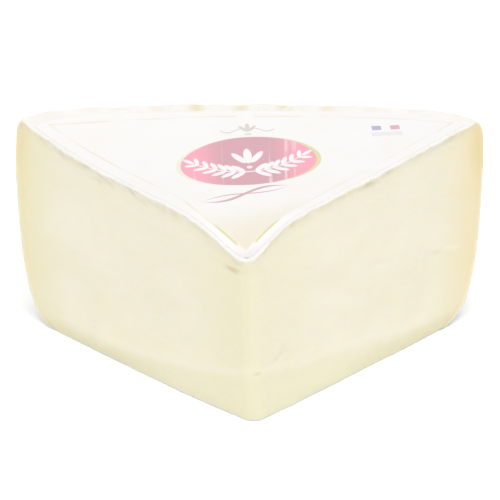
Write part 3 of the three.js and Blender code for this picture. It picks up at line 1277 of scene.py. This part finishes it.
@dataclass(frozen=True)
class PrintedPaper:
    """Coated white paper with a pink badge, a swash, two small blocks and a gold border."""

    point_y: float
    paper: Colour = linear(252, 250, 248, TOP_LIGHT)
    damp_and_shade: Colour = linear(240, 232, 212, TOP_LIGHT)
    crease_shade: Colour = linear(240, 234, 238, TOP_LIGHT)
    badge: Colour = linear(222, 171, 181, TOP_LIGHT)
    badge_end_highlight: Colour = linear(253, 176, 194, TOP_LIGHT)
    white: Colour = linear(255, 249, 249, TOP_LIGHT)
    gold: Colour = linear(228, 223, 168, TOP_LIGHT)
    swash: Colour = linear(218, 180, 186, TOP_LIGHT)
    grey: Colour = linear(211, 205, 198, TOP_LIGHT)
    bar: Colour = linear(240, 238, 239, TOP_LIGHT)
    blue: Colour = linear(192, 184, 216, TOP_LIGHT)
    red: Colour = linear(234, 180, 194, TOP_LIGHT)
    badge_centre: tuple[float, float, float] = (-0.6, 7.2, 0)
    badge_turn: float = 5.0
    badge_half: tuple[float, float] = (21.7, 14.4)
    swash_centre: tuple[float, float, float] = (-1.8, -12.6, 0)
    swash_turn: float = 17.0
    swash_wave: float = 30.0
    flourish_centre: tuple[float, float, float] = (-0.8, 25.4, 0)
    flourish_turn: float = 3.0
    curl_wave: float = 8.5
    blocks_centre: tuple[float, float, float] = (43.8, 26.5, 0)
    blocks_turn: float = 5.0
    border_inset: tuple[float, float] = (5.1, 4.5)  # from the left cut face and the right one
    border_stray: float = 3.1
    border_back: float = 32.7
    border_bow: float = 3.4
    border_half: float = 66.0

    def outside(self, finish: Finish) -> Socket:
        """How far outside the gold border each place is, in millimetres."""
        x, y = finish.axes((0, self.point_y / MM, 0))
        left = finish.times(finish.math("ADD", y, x), math.sqrt(0.5))
        right = finish.times(finish.math("SUBTRACT", y, x), math.sqrt(0.5))
        left = finish.scaled(finish.rise(y, 34.0, 15.0), self.border_stray, left)
        _, depth = finish.axes()
        share = finish.times(finish.math("ABSOLUTE", x), 1 / self.border_half)
        bow = finish.scaled(finish.math("POWER", share, 4), self.border_bow, depth)
        return finish.most(finish.math("SUBTRACT", self.border_inset[0], left),
                           finish.math("SUBTRACT", self.border_inset[1], right),
                           finish.math("SUBTRACT", bow, self.border_back))

    def border(self, press: Press, outside: Value, depth: Value) -> Socket:
        """The thin gold line just inside the label's edge, worn everywhere but at the point.

        Args:
            press: What prints it.
            outside: How far outside the line each place is.
            depth: Places along, from the point towards the rind side.

        Returns:
            The print.
        """
        finish = press.finish
        line = press.stroke(outside, 0.36)
        worn = finish.scaled(finish.rise(finish.cloud(13, 2, 21), 0.36, 0.62), 0.3, 0.08)
        x, _ = finish.axes((-1.6, 0, 0))
        aside = finish.math("ABSOLUTE", x)
        fresh = finish.times(finish.rise(aside, 12.0, 8.0), finish.rise(depth, 0.0, -5.0))
        return finish.times(line, finish.rise(aside, 2.2, 3.4), finish.most(worn, fresh))

    def sheet(self, press: Press) -> Socket:
        """Colour the paper with its gold border, creamier towards the tip from moisture and painted
        shade on the drooping paper, with painted shade in its creases.
        """
        finish = press.finish
        tone = finish.rise(finish.cloud(16, 2, 20), 0.4, 0.7)
        colour = finish.blend(tone, self.paper, self.damp_and_shade, 0.12)
        _, depth = finish.axes(turn=8)
        wavy = finish.scaled(finish.cloud(11, 2, 22), 6, depth)
        outside = self.outside(finish)
        # Moisture and painted shade: the drooping tip of the paper is coloured creamier and darker.
        damp_and_shade = finish.times(finish.rise(wavy, -13.0, -33.0), finish.rise(outside, 0.3, -0.8))
        colour = finish.blend(damp_and_shade, colour, self.damp_and_shade)
        # Painted shade in the creased paper at the tip.
        crease_shade = finish.times(finish.rise(wavy, -30.0, -37.0), finish.rise(outside, -0.4, 0.8))
        colour = finish.blend(crease_shade, colour, self.crease_shade, 0.8)
        return finish.blend(self.border(press, outside, depth), colour, self.gold)

    def with_badge(self, press: Press, colour: Socket) -> Socket:
        """Print the oval badge: a gold rim, a pink body with painted highlights towards both its
        ends and painted glints in thin streaks, and a sprig.
        """
        finish = press.finish
        x, y = finish.axes(self.badge_centre, self.badge_turn)
        long, wide = self.badge_half
        rim = press.petal(x, y, (0, 0), (long + 1.5, wide + 0.1))
        shining = finish.scaled(finish.rise(x, -16.0, 20.0), 0.6, 0.3)
        colour = finish.blend(finish.times(rim, shining), colour, self.gold)
        # Painted highlights: the pink is lighter towards each end of the oval.
        ends = finish.rise(finish.math("ABSOLUTE", x), 7.0, 17.0)
        pink = finish.blend(ends, self.badge, self.badge_end_highlight)
        pink = finish.blend(press.sprig(x, y), pink, self.white)
        # Painted highlights: thin upright streaks of glint, as from a clear film over the print.
        glint_streaks = finish.times(finish.rise(finish.cloud((1.5, 90, 90), 2, 23), 0.6, 0.7),
                             finish.rise(finish.cloud((30, 10, 30), 1, 24), 0.4, 0.6))
        pink = finish.blend(glint_streaks, pink, self.white, 0.45)
        return finish.blend(press.petal(x, y, (0, 0), (long, wide)), colour, pink)

    def with_swash(self, press: Press, colour: Socket) -> Socket:
        """Print two tapering waves that cross below the badge."""
        finish = press.finish
        x, y = finish.axes(self.swash_centre, self.swash_turn)
        swing = finish.math("SINE", finish.times(x, 2 * math.pi / self.swash_wave))
        taper = finish.rise(finish.math("ABSOLUTE", x), 16.0, 4.0)
        thick = press.stroke(finish.scaled(swing, -1.9, y), finish.times(taper, 0.62))
        thin = press.stroke(finish.scaled(swing, 1.2, y), finish.times(taper, 0.3))
        lines = finish.times(finish.most(thick, thin), finish.rise(taper, 0.0, 0.12))
        return finish.blend(lines, colour, self.swash)

    def with_flourish(self, press: Press, colour: Socket) -> Socket:
        """Print a small grey bloom with a curling arm on each side, above the badge."""
        finish = press.finish
        x, y = finish.axes(self.flourish_centre, self.flourish_turn)
        out = finish.math("ABSOLUTE", x)
        curl = finish.math("SINE", finish.times(out, 2 * math.pi / self.curl_wave))
        arm = finish.times(press.stroke(finish.scaled(curl, -0.9, y), 0.26),
                           press.within(out, 2.4, 8.8))
        bloom = finish.most(press.petal(x, y, (0, 1.4), (2.3, 0.75), 90),
                            press.petal(out, y, (1.5, 0.9), (1.9, 0.6), 52),
                            press.petal(x, y, (0, -2.2), (1.3, 0.4)))
        return finish.blend(finish.most(arm, bloom), colour, self.grey, 0.75)

    def with_blocks(self, press: Press, colour: Socket) -> Socket:
        """Print a blue block and a red one, over a pale grey bar."""
        finish = press.finish
        x, y = finish.axes(self.blocks_centre, self.blocks_turn)
        tall = press.within(y, -1.25, 1.25)
        for low, high, ink in ((-4.5, -1.5, self.blue), (1.5, 4.5, self.red)):
            colour = finish.blend(finish.times(tall, press.within(x, low, high)), colour, ink)
        bar = finish.times(press.within(y, -4.9, -2.6), press.within(x, -5.1, 5.1))
        return finish.blend(bar, colour, self.bar)

    def material(self) -> bpy.types.Material:
        """Make the label's material, its print laid on from the paper up."""
        finish = Finish("printed_paper")
        press = Press(finish)
        colour = self.sheet(press)
        for laid_on in (self.with_badge, self.with_swash, self.with_flourish, self.with_blocks):
            colour = laid_on(press, colour)
        finish.set(base_color=colour, roughness=0.42, specular_ior_level=0.4,
                   coat_weight=0.12, coat_roughness=0.25)
        finish.bump((finish.cloud(18, 2, 25), 0.5), (finish.cloud(0.5, 2, 26), 0.02))
        return finish.material


@dataclass
class Studio:
    """The camera, the pale floor and the soft white light."""

    aim: tuple[float, float, float] = (-0.26 * MM, -4.8 * MM, 41.9 * MM)
    distance: float = 1.114
    elevation: float = 25.84
    azimuth: float = -0.5
    lens: float = 252.0
    sensor: float = 36.0
    floor_size: float = 12.0
    sky: float = 0.82
    softbox_place: tuple[float, float, float] = (0.08, -0.7, 2.3)
    softbox_size: float = 1.6
    softbox_power: float = 27.5

    def camera(self) -> None:
        """Place the camera with its long lens."""
        data = bpy.data.cameras.new("camera")
        data.lens = self.lens
        data.sensor_width = self.sensor
        data.clip_start = 0.05
        data.clip_end = 50
        camera = stand("camera", data)
        tilt, turn = math.radians(self.elevation), math.radians(self.azimuth)
        back = Vector((math.sin(turn) * math.cos(tilt), -math.cos(turn) * math.cos(tilt),
                       math.sin(tilt)))
        camera.location = Vector(self.aim) + back * self.distance
        camera.rotation_euler = (-back).to_track_quat("-Z", "Y").to_euler()
        bpy.context.scene.camera = camera

    def floor(self) -> None:
        """Lay the floor."""
        bm = bmesh.new()
        bmesh.ops.create_grid(bm, x_segments=1, y_segments=1, size=self.floor_size / 2,
                              matrix=Matrix.Translation((0, 0, -0.05 * MM)))
        floor = stand_mesh("floor", bm)
        finish = Finish("pale_floor")
        finish.set(base_color=linear(253, 253, 253), roughness=0.9, specular_ior_level=0.1)
        floor.data.materials.append(finish.material)

    def softbox(self) -> None:
        """Hang the one square softbox, facing the cheese."""
        data = bpy.data.lights.new("overhead", "AREA")
        data.shape = "SQUARE"
        data.size = self.softbox_size
        data.energy = self.softbox_power
        lamp = stand("overhead", data)
        lamp.location = self.softbox_place
        toward = Vector(self.aim) - Vector(self.softbox_place)
        lamp.rotation_euler = toward.to_track_quat("-Z", "Y").to_euler()
        lamp.visible_camera = False

    def light(self) -> None:
        """Light the set: an even white surround and one large softbox overhead."""
        world = bpy.data.worlds.new("surround")
        world.use_nodes = True
        background = world.node_tree.nodes["Background"]
        background.inputs["Color"].default_value = (1, 1, 1, 1)
        background.inputs["Strength"].default_value = self.sky
        scene = bpy.context.scene
        scene.world = world
        scene.view_settings.view_transform = "Standard"
        self.softbox()

    def build(self) -> None:
        """Set up the whole studio."""
        self.camera()
        self.floor()
        self.light()


def main() -> None:
    """Build each piece, dress it, and put it in the frame's place."""
    logging.basicConfig(level=logging.INFO, format="%(name)s: %(message)s")
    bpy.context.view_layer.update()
    low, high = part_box("cheese_wedge")
    form = LoafForm(point_y=low.y, half_side=high.y - low.y)

    cheese = CheeseWedge(form).build()
    for material in (BloomyRind().material(), CutPaste().material()):
        cheese.data.materials.append(material)
    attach(cheese, BODY)
    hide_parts("cheese_wedge")
    log.info("cheese: %d faces", len(cheese.data.polygons))

    label = TopLabel(form).build()
    label.data.materials.append(PrintedPaper(point_y=form.point_y).material())
    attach(label, BODY)
    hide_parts("top_label")
    log.info("paper label: %d faces", len(label.data.polygons))

    Studio().build()
    log.info("studio: camera, floor and light")


if __name__ == "__main__":
    main()
